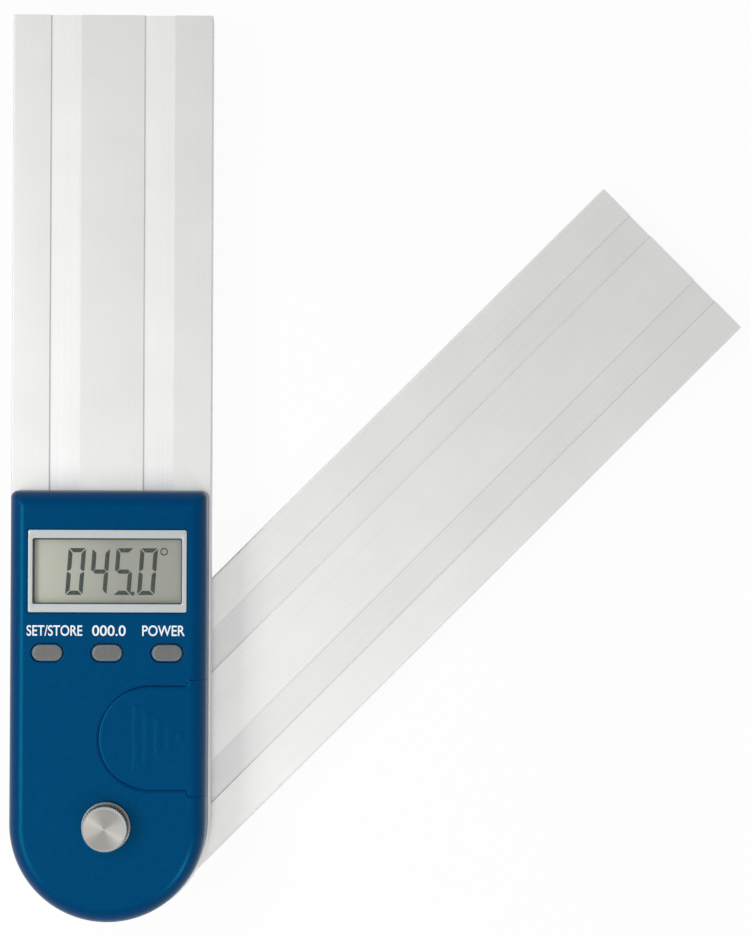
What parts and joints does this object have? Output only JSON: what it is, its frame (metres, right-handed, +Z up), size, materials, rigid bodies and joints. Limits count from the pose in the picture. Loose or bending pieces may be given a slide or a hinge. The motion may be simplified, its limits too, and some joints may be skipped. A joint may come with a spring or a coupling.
{
  "type": "digital angle finder with arms",
  "caption": "Digital angle finder: two flat hollow aluminium arms on one pivot, with a moulded housing, display, keys, battery cover and lock knob.",
  "frame": {"origin": "on the pivot axis, at the flat underside of the lower arm", "axes": "+Y along the upper arm, from the pivot to its free end; +Z up through the display side; +X towards the battery cover's side"},
  "size_m": [0.1852, 0.2265, 0.0322],
  "materials": {
    "brushed_aluminium": "extruded aluminium, brushed lengthwise and clear anodised, pale grey",
    "blue_abs": "moulded ABS with a fine spark texture, deep blue",
    "black_abs": "moulded ABS, black",
    "silver_trim": "silver painted plastic, satin",
    "clear_lens": "clear acrylic lens, polished",
    "lcd_glass": "grey-green liquid crystal panel, satin polariser",
    "contact_rubber": "layered contact rubber",
    "grey_key": "warm grey moulded keys, satin",
    "circuit_board": "green solder mask on glass-fibre board",
    "chip_epoxy": "black epoxy drop",
    "rotor_board": "bare glass-fibre board with copper tracks",
    "bush_brass": "turned brass",
    "turned_steel": "turned and plated steel",
    "white_nylon": "white nylon",
    "cell_steel": "bright nickel-plated steel",
    "knob_metal": "turned metal, spun face, straight knurl"
  },
  "bodies": {
    "fixed_arm": {"upper_arm": "brushed_aluminium", "pivot_bush": "bush_brass", "housing_shell": "blue_abs", "base_plate": "black_abs", "main_board": "circuit_board", "controller_blob": "chip_epoxy", "display_frame": "silver_trim", "display_lens": "clear_lens", "lcd_panel": "lcd_glass", "contact_strip": "contact_rubber", "battery_holder": "black_abs", "coin_cell": "cell_steel", "negative_contact": "cell_steel", "positive_contact": "cell_steel", "switch_hold": "turned_steel", "switch_zero": "turned_steel", "switch_power": "turned_steel", "case_screw_1": "turned_steel", "case_screw_2": "turned_steel", "case_screw_3": "turned_steel", "case_screw_4": "turned_steel", "board_screw_1": "turned_steel", "board_screw_2": "turned_steel", "board_screw_3": "turned_steel"},
    "moving_arm": {"lower_arm": "brushed_aluminium", "pivot_shaft": "turned_steel", "friction_washer": "white_nylon", "encoder_rotor": "rotor_board", "rotor_collar": "bush_brass"},
    "captive_washer": {"knob_washer": "knob_metal"},
    "knob": {"lock_knob": "knob_metal"},
    "hold_key": {"button_hold": "grey_key", "plunger_hold": "black_abs"},
    "zero_key": {"button_zero": "grey_key", "plunger_zero": "black_abs"},
    "power_key": {"button_power": "grey_key", "plunger_power": "black_abs"},
    "cell_cover": {"battery_cover": "blue_abs"}
  },
  "joints": [
    {"name": "arm_swing", "type": "hinge", "parent": "fixed_arm", "child": "moving_arm", "pos_m": [0, 0, 0], "axis": [0, 0, 1], "continuous": true},
    {"name": "knob_lift", "type": "slide", "parent": "moving_arm", "child": "captive_washer", "axis": [0, 0, 1], "range_m": [-0.0002, 0.001]},
    {"name": "knob_turn", "type": "hinge", "parent": "captive_washer", "child": "knob", "pos_m": [0, 0, 0], "axis": [0, 0, 1], "range_deg": [-90, 450]},
    {"name": "hold_press", "type": "slide", "parent": "fixed_arm", "child": "hold_key", "axis": [0, 0, -1], "range_m": [0, 0.0005], "stiffness_N_per_m": 2500},
    {"name": "zero_press", "type": "slide", "parent": "fixed_arm", "child": "zero_key", "axis": [0, 0, -1], "range_m": [0, 0.0005], "stiffness_N_per_m": 2500},
    {"name": "power_press", "type": "slide", "parent": "fixed_arm", "child": "power_key", "axis": [0, 0, -1], "range_m": [0, 0.0005], "stiffness_N_per_m": 2500},
    {"name": "cover_slide", "type": "slide", "parent": "fixed_arm", "child": "cell_cover", "axis": [1, 0, 0], "range_m": [0, 0.028]}
  ],
  "couplings": [
    {"joint": "knob_turn", "follows": "knob_lift", "rad_per_m": 7854}
  ]
}
